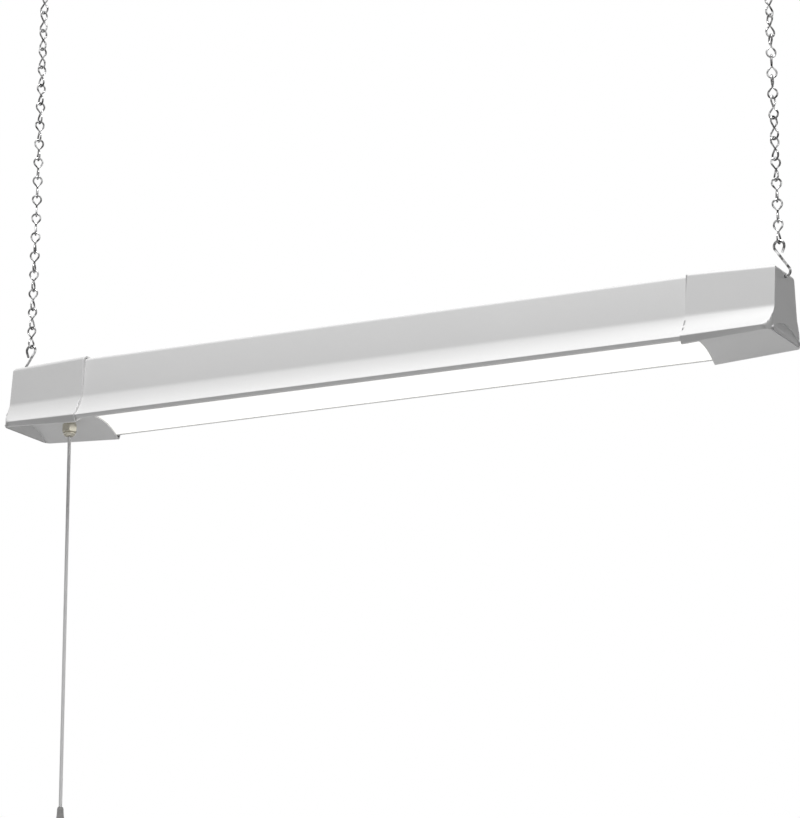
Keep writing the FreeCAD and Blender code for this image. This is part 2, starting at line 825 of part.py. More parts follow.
def turned_piece(label, section, name):
    body = new_body(label)
    revolve(body, outline(body, "XZ_Plane", section, name))
    return place(body, switch_x, 0, -drop)


def make_nozzle():
    turned_piece("switch_nozzle", [
        (dim.neck_bore, nozzle_top),
        (dim.nozzle_radius, nozzle_top, dim.nozzle_height / 4),
        (dim.nozzle_mouth + dim.sheet, cord_exit),
        (dim.nozzle_mouth, cord_exit, dim.nozzle_height / 8),
    ], "Dome")


def make_toggle():
    disc = switch_rod(dim.toggle_radius, toggle_level, toggle_level + dim.toggle_height)
    stem = switch_rod(dim.stem_radius, cord_exit, toggle_level + dim.toggle_height / 2)
    keep(fuse(disc, stem), "switch_plunger")


def make_spring():
    floor = (cavity_floor + dim.chain_play / 3).value + dim.spring_wire.value
    roof = (toggle_level - dim.chain_play / 3).value - dim.spring_wire.value
    coil_radius = (dim.stem_radius + dim.toggle_radius).value / 2 + dim.spring_wire.value
    steps = int((dim.spring_turns * dim.spring_steps).value)
    points = []
    for step in range(steps + 1):
        angle = 2 * math.pi * dim.spring_turns.value * step / steps
        level = floor + (roof - floor) * step / steps
        points.append(Vector(coil_radius * math.cos(angle), coil_radius * math.sin(angle), level))
    start = ring_section(points[0], points[1] - points[0], dim.spring_wire.value, LINK_SIDES)
    coil = Part.makePolygon(points).makePipeShell([start], True, False, 1)
    feature("switch_spring", coil, x=switch_x.value, z=-drop.value)


# Pull cord with a bell-shaped end that hangs on a knot, a ball flattened at this share of its radius.
KNOT_FLAT = 0.75


def make_pull():
    cord_end = cord_exit - dim.cord_length
    keep(switch_rod(dim.cord_radius, cord_end, cord_exit), "pull_cord")
    bell_foot = cord_end - dim.bell_height / 2
    bore = dim.cord_radius + dim.thread_play
    throat = dim.knot_radius + dim.chain_play
    turned_piece("pull_bell", [
        (bore, bell_foot + dim.bell_height),
        (dim.bell_neck, bell_foot + dim.bell_height, -dim.bell_wall),
        (dim.bell_radius, bell_foot),
        (dim.bell_radius - dim.bell_wall, bell_foot, dim.bell_wall / 2),
        (throat, cord_end),
        (bore, cord_end),
    ], "Bell")
    knot = doc.addObject("Part::Sphere", "Ball")
    latitude = math.degrees(math.asin(KNOT_FLAT))
    bind(knot, Radius=dim.knot_radius, Angle1=-latitude, Angle2=latitude)
    keep(place(knot, switch_x, 0, low(cord_end - dim.knot_radius * KNOT_FLAT)), "cord_knot")


# Wire forms: hooks and chain links are bent wire of a plain many-sided section.
HOOK_SIDES = 8
LINK_SIDES = 6
LINK_STRETCHES = 6


def ring_section(centre, heading, radius, sides):
    turn = Rotation(Vector(0, 0, 1), Vector(heading))
    corners = []
    for number in range(sides + 1):
        angle = 2 * math.pi * (number + 0.5) / sides
        corners.append(centre + turn.multVec(Vector(radius * math.cos(angle), radius * math.sin(angle), 0)))
    return Part.makePolygon(corners)


def arc_edge(centre, radius, start, end):
    """Arc in the upright XZ plane between two angles in degrees, which may run either way."""
    def point(angle):
        turn = math.radians(angle)
        return Vector(centre.x + radius * math.cos(turn), 0, centre.z + radius * math.sin(turn))
    return Part.Arc(point(start), point((start + end) / 2), point(end)).toShape()


def along(edges, radius, sides):
    first = edges[0]
    start = first.valueAt(first.FirstParameter)
    heading = first.tangentAt(first.FirstParameter)
    section = ring_section(start, heading, radius, sides)
    return Part.Wire(edges).makePipeShell([section], True, False)


def s_hook(lean, closed_foot):
    """S-hook in the XZ plane about the middle of its shank, its upper bend on the side of -lean."""
    bend, height = dim.hook_bend.value, dim.hook_height.value
    top = Vector(-lean / 2, 0, height / 2)
    foot = top * -1
    reach = top.Length
    slant = math.degrees(math.atan2(top.z, top.x) + math.asin(bend / reach))
    leave = slant + 90
    wrap = -dim.hook_wrap.value
    tail = dim.hook_tail.value
    heading = Vector(math.sin(math.radians(wrap)), 0, -math.cos(math.radians(wrap)))
    upper = arc_edge(top, bend, wrap, leave)
    tip, shoulder_point = upper.valueAt(upper.FirstParameter), upper.valueAt(upper.LastParameter)
    shank = Part.LineSegment(shoulder_point, shoulder_point * -1).toShape()
    edges = [Part.LineSegment(tip + heading * tail, tip).toShape(), upper, shank]
    if closed_foot:
        edges += [arc_edge(foot, bend, leave - 180, wrap - 180)]
        low_tip = tip * -1
        edges.append(Part.LineSegment(low_tip, low_tip - heading * tail).toShape())
    else:
        edges.append(arc_edge(foot, bend, leave - 180, -180 + dim.hook_rise.value))
    return along(edges, dim.hook_wire.value, HOOK_SIDES)


def make_hooks():
    middle_station = (light_half + dim.hook_reach - dim.hook_lean / 2).value
    middle_level = low(dim.hook_seat + dim.hook_height / 2).value
    lower = s_hook(dim.hook_lean.value, False)
    feature("right_lower_hook", lower, middle_station, middle_level)
    feature("left_lower_hook", lower.mirror(Vector(), Vector(1, 0, 0)), -middle_station, middle_level)
    upper = s_hook(0.0, True)
    upper_level = low(upper_ring_low + dim.hook_height / 2).value
    feature("right_upper_hook", upper, top_station.value, upper_level)
    feature("left_upper_hook", upper.mirror(Vector(), Vector(1, 0, 0)), -top_station.value, upper_level)


def link_loop():
    """One drop-shaped loop of a link, up from its waist in the XZ plane."""
    reach = (dim.link_pitch / 2 + dim.link_wire + dim.chain_play / 2).value
    bend = dim.link_bend.value
    centre = reach - bend
    slope = math.asin(bend / centre)
    spots = []
    for number in range(LINK_STRETCHES + 1):
        angle = -slope + (math.pi + 2 * slope) * number / LINK_STRETCHES
        spots.append(Vector(bend * math.cos(angle), 0, centre + bend * math.sin(angle)))
    start = spots[0] * 0.5
    path = Part.makePolygon([start] + spots + [Vector(), start])
    section = ring_section(start, spots[0], dim.link_wire.value, LINK_SIDES)
    return path.makePipeShell([section], True, False, 1)


def jack_link():
    """A twisted figure-eight link: its lower loop stands square to its upper one."""
    upper = link_loop()
    lower = upper.copy()
    lower.rotate(Vector(), Vector(1, 0, 0), 180)
    lower.rotate(Vector(), Vector(0, 0, 1), 90)
    return upper.fuse(lower).removeSplitter().Solids[0]


def make_chain(side, twist, label):
    link = jack_link()
    count = int(dim.link_count.value)
    first = (dim.link_pitch / 2 + dim.link_wire + dim.chain_play / 2).value
    links = []
    for number in range(count):
        copy = link.copy()
        copy.rotate(Vector(), Vector(0, 0, 1), twist.value * number / (count - 1))
        copy.translate(Vector(0, 0, first + dim.link_pitch.value * number))
        links.append(copy)
    lean = math.degrees(math.asin((dim.chain_inset / chain_rise).value))
    chain = Part.makeCompound(links)
    feature(label, chain, (ring_station * side).value, low(foot_level).value, -lean * side)


# Ceiling hooks: an open ring square to the light under a screwed shank with a stop collar.
def make_ceiling_hook(side, label):
    station = top_station * side
    turn = arc_edge(Vector(), dim.ceiling_bend.value, 90, 90 + dim.ceiling_sweep.value)
    bow = doc.addObject("Part::Feature", "Bow")
    bow.Shape = along([turn], dim.ceiling_wire.value, HOOK_SIDES)
    middle = Vector(station.value, 0, low(ceiling_ring).value)
    bow.Placement = Placement(middle, Rotation(Vector(0, 0, 1), 90))
    shank_foot = low(ceiling_ring + dim.ceiling_bend - dim.ceiling_wire / 2)
    collar_height = dim.ceiling_gap / 4
    shank = cylinder(dim.ceiling_shank, dim.ceiling_thread - shank_foot, station, 0, shank_foot)
    collar = cylinder(dim.ceiling_collar, collar_height, station, 0, -collar_height)
    keep(fuse(bow, shank, collar), label)


make_housing()
make_cap(-1, "left_end_cap")
make_cap(1, "right_end_cap")
make_cap_screws()
make_lens()
make_tray()
make_posts()
make_board(-1, "left_led_board")
make_board(1, "right_led_board")
make_leds()
make_driver()
make_terminal_block()
make_ground_screw()
make_leads()
make_inlet()
make_switch()
make_nozzle()
make_toggle()
make_spring()
make_pull()
make_hooks()
make_chain(-1, dim.left_twist, "left_chain")
make_chain(1, dim.right_twist, "right_chain")
make_ceiling_hook(-1, "left_ceiling_hook")
make_ceiling_hook(1, "right_ceiling_hook")

doc.recompute()
faults = [thing.Label for thing in doc.Objects if {"Invalid", "Error"} & set(thing.State)]
faults += [part.Label for part in parts if part.Shape.isNull() or not part.Shape.isValid()]
if faults:
    raise SystemExit(f"not built: {faults}")
os.makedirs("parts", exist_ok=True)
for part in parts:
    part.Shape.exportStep(f"parts/{part.Label}.step")
    print(f"{part.Label}: {len(part.Shape.Solids)} solids, {part.Shape.Volume:.1f} mm3")
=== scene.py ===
import json
import math

import bmesh
import bpy
from mathutils import Matrix, Vector


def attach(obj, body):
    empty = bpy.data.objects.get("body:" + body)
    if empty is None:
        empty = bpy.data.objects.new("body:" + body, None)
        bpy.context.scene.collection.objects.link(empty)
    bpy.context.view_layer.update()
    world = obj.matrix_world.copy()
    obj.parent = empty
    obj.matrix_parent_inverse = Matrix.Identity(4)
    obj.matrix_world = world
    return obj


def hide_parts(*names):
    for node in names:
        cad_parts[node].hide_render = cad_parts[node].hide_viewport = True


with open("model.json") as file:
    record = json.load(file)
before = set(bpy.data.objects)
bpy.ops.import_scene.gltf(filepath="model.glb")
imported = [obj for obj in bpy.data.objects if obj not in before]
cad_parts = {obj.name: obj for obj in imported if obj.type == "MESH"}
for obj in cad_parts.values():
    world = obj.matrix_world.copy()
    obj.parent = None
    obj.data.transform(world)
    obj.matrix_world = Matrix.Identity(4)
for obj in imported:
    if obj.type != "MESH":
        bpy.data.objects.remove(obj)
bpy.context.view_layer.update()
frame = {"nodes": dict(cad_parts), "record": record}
print("frame loaded:", len(frame["nodes"]), "nodes")

# +X runs along the light, +Y to its back, +Z up, and the ceiling is at zero. Sizes are in metres.
light = {
    "rimLevel": -0.600,    # rim of the housing below the ceiling
    "seam": 0.361,         # where the end caps begin
    "housingEnd": 0.367,
    "capEnd": 0.457,
    "hookFoot": 0.4518,    # foot of each chain, from the middle
    "hookTop": 0.4458,     # top of each chain, from the middle
    "chainFoot": 0.09875,  # above the rim, as is the next one
    "chainTop": 0.54915,
    "switchX": -0.3975,
}
bothEnds = ((-1, "left"), (1, "right"))

photoCamera = {
    "place": (1.6098, -3.1398, -1.5142),
    "yaw": 26.88,
    "pitch": 14.16,
    "roll": 0.0,
    "focalPixels": 3402.0,
    "imageWidth": 800.0,
    "filmWidth": 36.0,
}


def makeCamera(setup):
    yaw, pitch, roll = (math.radians(setup[key]) for key in ("yaw", "pitch", "roll"))
    ahead = Vector((-math.sin(yaw) * math.cos(pitch), math.cos(yaw) * math.cos(pitch), math.sin(pitch)))
    right = Vector((math.cos(yaw), math.sin(yaw), 0))
    above = right.cross(ahead)
    side = math.cos(roll) * right + math.sin(roll) * above
    top = -math.sin(roll) * right + math.cos(roll) * above
    lens = bpy.data.cameras.new("photoCamera")
    lens.sensor_fit = "HORIZONTAL"
    lens.sensor_width = setup["filmWidth"]
    lens.lens = setup["filmWidth"] * setup["focalPixels"] / setup["imageWidth"]
    camera = bpy.data.objects.new("photoCamera", lens)
    turn = Matrix((side, top, -ahead)).transposed().to_4x4()
    camera.matrix_world = Matrix.Translation(setup["place"]) @ turn
    bpy.context.collection.objects.link(camera)
    bpy.context.scene.camera = camera


makeCamera(photoCamera)


class Signal:  # an output socket that can be written into a sum

    def __init__(self, tree, socket):
        self.tree = tree
        self.socket = socket

    def __add__(self, other):
        return self.tree.maths("ADD", self, other)

    def __radd__(self, other):
        return self.tree.maths("ADD", other, self)

    def __sub__(self, other):
        return self.tree.maths("SUBTRACT", self, other)

    def __rsub__(self, other):
        return self.tree.maths("SUBTRACT", other, self)

    def __mul__(self, other):
        return self.tree.maths("MULTIPLY", self, other)

    def __rmul__(self, other):
        return self.tree.maths("MULTIPLY", other, self)

    def __truediv__(self, other):
        return self.tree.maths("DIVIDE", self, other)

    def __rtruediv__(self, other):
        return self.tree.maths("DIVIDE", other, self)

    def __gt__(self, other):
        return self.tree.maths("GREATER_THAN", self, other)

    def __lt__(self, other):
        return self.tree.maths("LESS_THAN", self, other)


class NodeTree:  # adds nodes to a material, the sky or a chain, call by call

    def __init__(self, tree):
        self.nodes = tree.nodes
        self.links = tree.links

    def add(self, kind, settings=None, inputs=(), output=0):
        node = self.nodes.new(kind)
        for key, value in (settings or {}).items():
            if key == "stops":
                fillRamp(node.color_ramp, value)
            else:
                setattr(node, key, value)
        pairs = inputs.items() if isinstance(inputs, dict) else enumerate(inputs)
        for key, value in pairs:
            self.put(node.inputs[key], value)
        return Signal(self, node.outputs[output])

    def put(self, socket, value):
        if isinstance(value, list):  # several links into one socket
            for entry in value:
                self.put(socket, entry)
        elif isinstance(value, Signal):
            self.links.new(value.socket, socket)
        else:
            socket.default_value = value

    def maths(self, operation, *values):
        return self.add("ShaderNodeMath", {"operation": operation}, values)


class Recipe(NodeTree):  # one material

    def __init__(self, name):
        self.material = bpy.data.materials.new(name)
        self.material.use_nodes = True
        super().__init__(self.material.node_tree)
        self.shader = self.nodes["Principled BSDF"]
        self.place = self.add("ShaderNodeTexCoord", output="Object")

    def finish(self, **sockets):
        for name, value in sockets.items():
            self.put(self.shader.inputs[name.replace("_", " ")], value)
        return self.material

    def noise(self, scale, detail=3.0, place=None):
        inputs = {"Vector": place or self.place, "Scale": scale, "Detail": detail}
        return self.add("ShaderNodeTexNoise", inputs=inputs, output="Fac")

    def stretched(self, x, y, z):
        return self.add("ShaderNodeMapping", inputs={"Vector": self.place, "Scale": (x, y, z)})

    def part(self, letter, place=None):
        return self.add("ShaderNodeSeparateXYZ", inputs=(place or self.place,), output=letter)

    def blend(self, share, one, other):
        # a Mix node's colours are its sockets 6 and 7, and its colour output is 2
        return self.add("ShaderNodeMix", {"data_type": "RGBA"}, {0: share, 6: one, 7: other}, output=2)

    def ramp(self, value, *stops):
        return self.add("ShaderNodeValToRGB", {"stops": stops}, (value,), output="Color")

    def bump(self, height, depth, strength):
        inputs = {"Strength": strength, "Distance": depth, "Height": height}
        return self.add("ShaderNodeBump", inputs=inputs, output="Normal")


def fillRamp(ramp, stops):
    while len(ramp.elements) < len(stops):
        ramp.elements.new(0.5)
    for element, (position, colour) in zip(ramp.elements, stops):
        element.position = position
        element.color = colour


def grey(level, warmth=0.0):
    return (level + warmth, level, level - warmth, 1.0)


def paintedSheet():
    paint = Recipe("paintedSheet")
    cloud = paint.noise(5.0)  # broad tones along the sheet
    peel = paint.noise(700.0, 2.0)  # fine orange peel of the coat
    colour = paint.blend(cloud, grey(0.74), grey(0.775, 0.002))
    return paint.finish(Base_Color=colour, Roughness=0.30 + 0.10 * cloud, Coat_Weight=0.15,
                        Normal=paint.bump(peel, 0.00004, 0.5))


def capPlastic():
    plastic = Recipe("capPlastic")
    cloud = plastic.noise(9.0)
    grain = plastic.noise(2200.0, 2.0)  # matt grain of the mould
    colour = plastic.blend(cloud, grey(0.715), grey(0.75, 0.002))
    return plastic.finish(Base_Color=colour, Roughness=0.40 + 0.10 * grain,
                          Normal=plastic.bump(grain, 0.00003, 0.6))


def opalLens():
    opal = Recipe("opalLens")
    cloud = opal.noise(14.0)
    frost = opal.noise(1800.0, 2.0)
    glow = opal.blend(cloud, (1.0, 1.0, 0.955, 1.0), (1.0, 1.0, 0.975, 1.0))
    return opal.finish(Base_Color=grey(0.86, 0.004), Roughness=0.35 + 0.1 * frost, Emission_Color=glow,
                       Emission_Strength=0.62, Normal=opal.bump(frost, 0.00003, 0.5))


def zincWire():
    zinc = Recipe("zincWire")
    paintedReflection = zinc.noise(220.0)  # painted reflection: dark and bright patches a few millimetres long, standing in for the surroundings mirrored in the wire
    scratch = zinc.noise(900.0, 4.0, zinc.stretched(1.0, 1.0, 0.12))  # drawing lines along the wire
    # the ramp paints that reflection, from near black to near white
    colour = zinc.ramp(paintedReflection, (0.38, grey(0.07)), (0.52, grey(0.34)), (0.66, grey(0.78, -0.004)))
    return zinc.finish(Base_Color=colour, Metallic=1.0, Roughness=0.10 + 0.14 * scratch,
                       Normal=zinc.bump(scratch, 0.00003, 0.4))


def nickelPlate():
    nickel = Recipe("nickelPlate")
    stain = nickel.noise(260.0)
    turn = nickel.noise(1500.0, 3.0, nickel.stretched(0.1, 0.1, 1.0))  # rings left by the lathe
    colour = nickel.blend(stain, (0.50, 0.47, 0.38, 1.0), (0.78, 0.75, 0.66, 1.0))
    return nickel.finish(Base_Color=colour, Metallic=1.0, Roughness=0.14 + 0.14 * turn,
                         Normal=nickel.bump(turn, 0.00002, 0.4))


def bellSteel():
    steel = Recipe("bellSteel")
    stain = steel.noise(180.0)
    turn = steel.noise(1600.0, 3.0, steel.stretched(0.08, 0.08, 1.0))  # rings left by the lathe
    colour = steel.blend(stain, grey(0.10), grey(0.32, 0.004))
    return steel.finish(Base_Color=colour, Metallic=1.0, Roughness=0.18 + 0.15 * turn,
                        Normal=steel.bump(turn, 0.00002, 0.4))


# white braided cord about an upright line through middle, with its twist in radians a metre
def cordBraid(middle, twist, strands):
    braid = Recipe("cordBraid")
    offset = braid.add("ShaderNodeVectorMath", {"operation": "SUBTRACT"}, (braid.place, middle))
    angle = braid.maths("ARCTAN2", braid.part("Y", offset), braid.part("X", offset)) * strands
    climb = braid.part("Z") * twist
    weave = braid.maths("MAXIMUM", braid.maths("SINE", angle + climb), braid.maths("SINE", angle - climb))
    fuzz = braid.noise(2400.0, 3.0)
    # painted shade: the colour is darker in the grooves between the strands, where the weave is low; the fuzz
    # adds random tone
    colour = braid.ramp(weave + 0.2 * fuzz, (0.0, grey(0.74)), (0.55, grey(0.90)), (1.0, grey(0.95)))
    return braid.finish(Base_Color=colour, Roughness=0.75, Normal=braid.bump(weave + 0.3 * fuzz, 0.0003, 0.8))


def screwSteel():
    steel = Recipe("screwSteel")
    scratch = steel.noise(1200.0, 4.0)
    return steel.finish(Base_Color=steel.blend(scratch, grey(0.48), grey(0.62)), Metallic=1.0,
                        Roughness=0.25 + 0.2 * scratch)


def postAluminium():
    post = Recipe("postAluminium")
    lines = post.noise(900.0, 3.0, post.stretched(0.05, 0.05, 1.0))
    return post.finish(Base_Color=post.blend(lines, grey(0.60), grey(0.74)), Metallic=1.0,
                       Roughness=0.3 + 0.15 * lines)


def galvanisedSheet():
    sheet = Recipe("galvanisedSheet")
    spangle = sheet.add("ShaderNodeTexVoronoi", inputs={"Vector": sheet.place, "Scale": 160.0}, output="Color")
    tone = sheet.add("ShaderNodeRGBToBW", inputs=(spangle,))
    return sheet.finish(Base_Color=sheet.blend(tone, grey(0.52), grey(0.70)), Metallic=1.0,
                        Roughness=0.32 + 0.2 * tone)


# white solder mask with copper tracks along the board
def boardMask(tracksPerMetre, trackStart):
    board = Recipe("boardMask")
    fromMiddle = board.maths("ABSOLUTE", board.part("Y"))
    track = board.maths("FRACT", fromMiddle * tracksPerMetre) > trackStart
    speck = board.noise(1500.0)
    colour = board.blend(track, grey(0.80, 0.003), (0.66, 0.62, 0.50, 1.0))
    return board.finish(Base_Color=colour, Roughness=0.35 + 0.2 * speck)


def ledPhosphor():
    chip = Recipe("ledPhosphor")
    grain = chip.noise(1800.0)
    colour = chip.blend(grain, (0.86, 0.62, 0.10, 1.0), (0.95, 0.78, 0.22, 1.0))
    return chip.finish(Base_Color=colour, Roughness=0.25 + 0.1 * grain)


def blockNylon():
    nylon = Recipe("blockNylon")
    cloud = nylon.noise(60.0)
    grain = nylon.noise(2000.0)
    colour = nylon.blend(cloud, (0.74, 0.70, 0.60, 1.0), (0.80, 0.77, 0.68, 1.0))
    return nylon.finish(Base_Color=colour, Roughness=0.42 + 0.1 * grain,
                        Normal=nylon.bump(grain, 0.00003, 0.5))


def clampBrass():
    brass = Recipe("clampBrass")
    stain = brass.noise(300.0)
    colour = brass.blend(stain, (0.44, 0.30, 0.10, 1.0), (0.72, 0.54, 0.24, 1.0))
    return brass.finish(Base_Color=colour, Metallic=1.0, Roughness=0.22 + 0.15 * stain)


def leadSheath():
    sheath = Recipe("leadSheath")
    wax = sheath.noise(400.0)
    return sheath.finish(Base_Color=sheath.blend(wax, grey(0.015), grey(0.03)), Roughness=0.3 + 0.15 * wax)


def bushingRubber():
    rubber = Recipe("bushingRubber")
    dust = rubber.noise(500.0, 4.0)
    colour = rubber.blend(dust, grey(0.018), grey(0.045))
    return rubber.finish(Base_Color=colour, Roughness=0.55 + 0.2 * dust,
                         Normal=rubber.bump(dust, 0.00005, 0.5))


def switchPhenolic():
    phenolic = Recipe("switchPhenolic")
    mottle = phenolic.noise(240.0, 5.0)
    colour = phenolic.blend(mottle, (0.022, 0.012, 0.008, 1.0), (0.055, 0.030, 0.020, 1.0))
    return phenolic.finish(Base_Color=colour, Roughness=0.3 + 0.15 * mottle)


finishes = {
    "housing_paint": paintedSheet(),
    "cap_plastic": capPlastic(),
    "opal_lens": opalLens(),
    "zinc_wire": zincWire(),
    "switch_nickel": nickelPlate(),
    "bell_steel": bellSteel(),
    "cord_white": cordBraid((light["switchX"], 0, 0), twist=2600.0, strands=5.0),
    "screw_steel": screwSteel(),
    "spring_steel": screwSteel(),
    "post_aluminium": postAluminium(),
    "driver_steel": galvanisedSheet(),
    "board_mask": boardMask(tracksPerMetre=70.0, trackStart=0.9),
    "led_phosphor": ledPhosphor(),
    "block_nylon": blockNylon(),
    "clamp_brass": clampBrass(),
    "lead_sheath": leadSheath(),
    "bushing_black": bushingRubber(),
    "switch_phenolic": switchPhenolic(),
}
slotOfNode = {entry["node"]: entry["material_slot"] for entry in frame["record"]["subparts"]}
for node, solid in frame["nodes"].items():
    for slot in solid.material_slots:
        slot.material = finishes[slotOfNode[node]]
print("materials made:", len(finishes))


def newPiece(name, mesh):
    piece = bpy.data.objects.new(name, mesh)
    bpy.context.collection.objects.link(piece)
    return piece


def meshPiece(name, corners, faces):
    mesh = bpy.data.meshes.new(name)
    mesh.from_pydata([tuple(corner) for corner in corners], [], faces)
    mesh.validate()
    return newPiece(name, mesh)


# the piece as a plain mesh, with its modifiers used up
def settled(piece):
    graph = bpy.context.evaluated_depsgraph_get()
    mesh = bpy.data.meshes.new_from_object(piece.evaluated_get(graph))
    name = piece.name
    bpy.data.objects.remove(piece)
    mesh.name = name
    return newPiece(name, mesh)


def cleaned(piece, join=0.000005):
    shape = bmesh.new()
    shape.from_mesh(piece.data)
    bmesh.ops.remove_doubles(shape, verts=shape.verts, dist=join)
    bmesh.ops.recalc_face_normals(shape, faces=shape.faces)
    shape.to_mesh(piece.data)
    shape.free()
    return piece


def smoothed(piece, degrees=35):
    for polygon in piece.data.polygons:
        polygon.use_smooth = True
    piece.data.set_sharp_from_angle(angle=math.radians(degrees))
    return piece


# gives a finished piece its material and body, in the place of a CAD node
def dress(piece, body, node):
    slotName = slotOfNode[node]
    piece.data.materials.clear()
    piece.data.materials.append(finishes[slotName])
    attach(piece, body)
    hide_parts(node)
    return piece


def bevelled(piece, width, segments, degrees):
    edge = piece.modifiers.new("softEdges", "BEVEL")
    edge.width = width
    edge.segments = segments
    edge.limit_method = "ANGLE"
    edge.angle_limit = math.radians(degrees)
    return settled(piece)


# lets the broad faces lead the shading, so that the narrow rounds leave no streaks on them
def evenShade(piece):
    weights = piece.modifiers.new("evenShade", "WEIGHTED_NORMAL")
    weights.keep_sharp = True
    return settled(piece)


# points after start and up to end, on an arc that stands bow to the left of the way
def arcStretch(start, end, bow, count):
    start, end = Vector(start), Vector(end)
    chord = end - start
    along = chord.normalized()
    outward = Vector((-along.y, along.x))
    way = math.copysign(1, bow)
    radius = (chord.length ** 2 / 4 + bow * bow) / (2 * abs(bow))
    centre = (start + end) / 2 + outward * (bow - way * radius)
    half = math.asin(chord.length / 2 / radius)
    points = []
    for number in range(1, count + 1):
        angle = half * (2 * number / count - 1)
        points.append(centre + radius * (math.sin(angle) * along + way * math.cos(angle) * outward))
    return points


# a rounded corner in the place of a sharp one
def softCorner(before, corner, after, reach, count=4):
    before, corner, after = Vector(before), Vector(corner), Vector(after)
    start = corner + (before - corner).normalized() * reach
    end = corner + (after - corner).normalized() * reach
    points = []
    for number in range(count + 1):
        share = number / count
        points.append(start * (1 - share) ** 2 + corner * 2 * share * (1 - share) + end * share ** 2)
    return points


# a half section's points seen in the mirror, from the bottom up
def mirrored(half):
    return [Vector((-point.x, point.y)) for point in reversed(half)]


# faces between rows of points, each closed around or open, and the last row joined to the first or not
def gridFaces(rows, columns, around=True, wrapped=False):
    faces = []
    for row in range(rows if wrapped else rows - 1):
        near, far = row * columns, (row + 1) % rows * columns
        for column in range(columns if around else columns - 1):
            following = (column + 1) % columns
            faces.append((near + column, near + following, far + following, far + column))
    return faces


# a skin through sections, one at each station along X
def sweptStrip(stations, sections, closed=False):
    corners = [(x, point.x, point.y) for x, section in zip(stations, sections) for point in section]
    return corners, gridFaces(len(stations), len(sections[0]), closed)


def thickened(piece, wall, offset=-1.0, even=True):
    skin = piece.modifiers.new("wall", "SOLIDIFY")
    skin.thickness = wall
    skin.offset = offset
    skin.use_even_offset = even
    return settled(piece)


# a closed ring about an upright line through middle; the profile holds (radius, height)
def latheRing(name, profile, middle, sides=48):
    corners = []
    for radius, height in profile:
        for number in range(sides):
            angle = 2 * math.pi * number / sides
            corners.append((middle[0] + radius * math.cos(angle), middle[1] + radius * math.sin(angle),
                            middle[2] + height))
    return cleaned(meshPiece(name, corners, gridFaces(len(profile), sides, wrapped=True)))


pullCord = {
    "top": -0.6106,
    "length": 0.430,
    "radius": 0.0019,
}


def makePullCord(setup):
    curve = bpy.data.curves.new("pullCord", "CURVE")
    curve.dimensions = "3D"
    curve.bevel_depth = setup["radius"]
    curve.bevel_resolution = 6
    curve.use_fill_caps = True
    spline = curve.splines.new("NURBS")
    route = [(light["switchX"], 0, setup["top"]), (light["switchX"], 0, setup["top"] - setup["length"])]
    spline.points.add(len(route) - len(spline.points))
    for point, spot in zip(spline.points, route):
        point.co = (*spot, 1)
    spline.order_u = 2
    spline.use_endpoint_u = True
    return dress(newPiece("pullCord", curve), "pull", "pull_cord")


pullString = makePullCord(pullCord)
print("pull cord hung")


housingSheet = {
    "wall": 0.0008,
    "topHalf": 0.027,
    "top": 0.070,
    "topRound": 0.004,
    "shoulderBow": 0.284,  # how far the round at the top stands out, as a share of it
    "creaseHalf": 0.0325,
    "crease": 0.0245,
    "creaseSoft": 0.0022,
    "tipHalf": 0.048,
    "tipSoft": 0.0010,
    "hollow": 0.0016,      # how far the flare curves in
    "flareSteps": 12,
    "lipHalf": 0.045,
    "lipDrop": 0.0035,
    "ledgeHalf": 0.042,
}


# the round between the flat top and the side that runs down to the crease
def shoulderPoints(half, level, crease, setback, bowShare, count=6):
    share = setback / (level - crease[1])
    start = (half - setback, level)
    end = (half + (crease[0] - half) * share, level - setback)
    return [Vector(start)] + arcStretch(start, end, setback * bowShare, count)


def makeHousing(sheet):
    crease, tip = (sheet["creaseHalf"], sheet["crease"]), (sheet["tipHalf"], 0)
    lip, ledge = (sheet["lipHalf"], -sheet["lipDrop"]), (sheet["ledgeHalf"], -sheet["lipDrop"])
    back = shoulderPoints(sheet["topHalf"], sheet["top"], crease, sheet["topRound"], sheet["shoulderBow"])
    flare = arcStretch(crease, tip, -sheet["hollow"], sheet["flareSteps"])
    half = back + softCorner(back[-1], crease, flare[0], sheet["creaseSoft"]) + flare[1:-1]
    half += softCorner(flare[-2], tip, lip, sheet["tipSoft"]) + softCorner(tip, lip, ledge, sheet["tipSoft"], 3)
    half.append(Vector(ledge))
    # the strip runs from ledge to ledge over the top
    section = [point + Vector((0, light["rimLevel"])) for point in mirrored(half) + half]
    stations = (-light["housingEnd"], light["housingEnd"])
    shell = thickened(meshPiece("housingShell", *sweptStrip(stations, [section] * 2)), sheet["wall"], 1.0)
    dress(smoothed(cleaned(shell), 40), "light", "housing")


makeHousing(housingSheet)
print("housing bent")


endCap = {
    "wall": 0.0018,
    "gap": 0.0007,         # between the cap and the housing in it
    "lipWall": 0.00135,
    "rimDrop": 0.0077,
    "rimWidth": 0.003,
    "archRise": 0.0145,
    "archSteps": 28,
    "taperTop": 0.0026,    # the tapers say how much smaller the closed end is
    "taperSide": 0.0026,
    "taperTip": 0.0015,
    "taperEdge": 0.0015,
    "taperRim": 0.005,
    "tipSoft": 0.0012,
    "lipSoft": 0.0008,
    "cornerRound": 0.013,
    "edgeRound": 0.004,
    "softEdge": 0.0006,
    "mouthBand": 0.0025,   # narrow strip of faces behind the open end
    "spans": 6,
    "roundSteps": 6,
    "eyeRadius": 0.002,
    "eyeLevel": 0.063,
    "inletLevel": 0.038,
    "inletRadius": 0.0071,
    "neckLevel": 0.0102,
    "neckRadius": 0.0051,
}


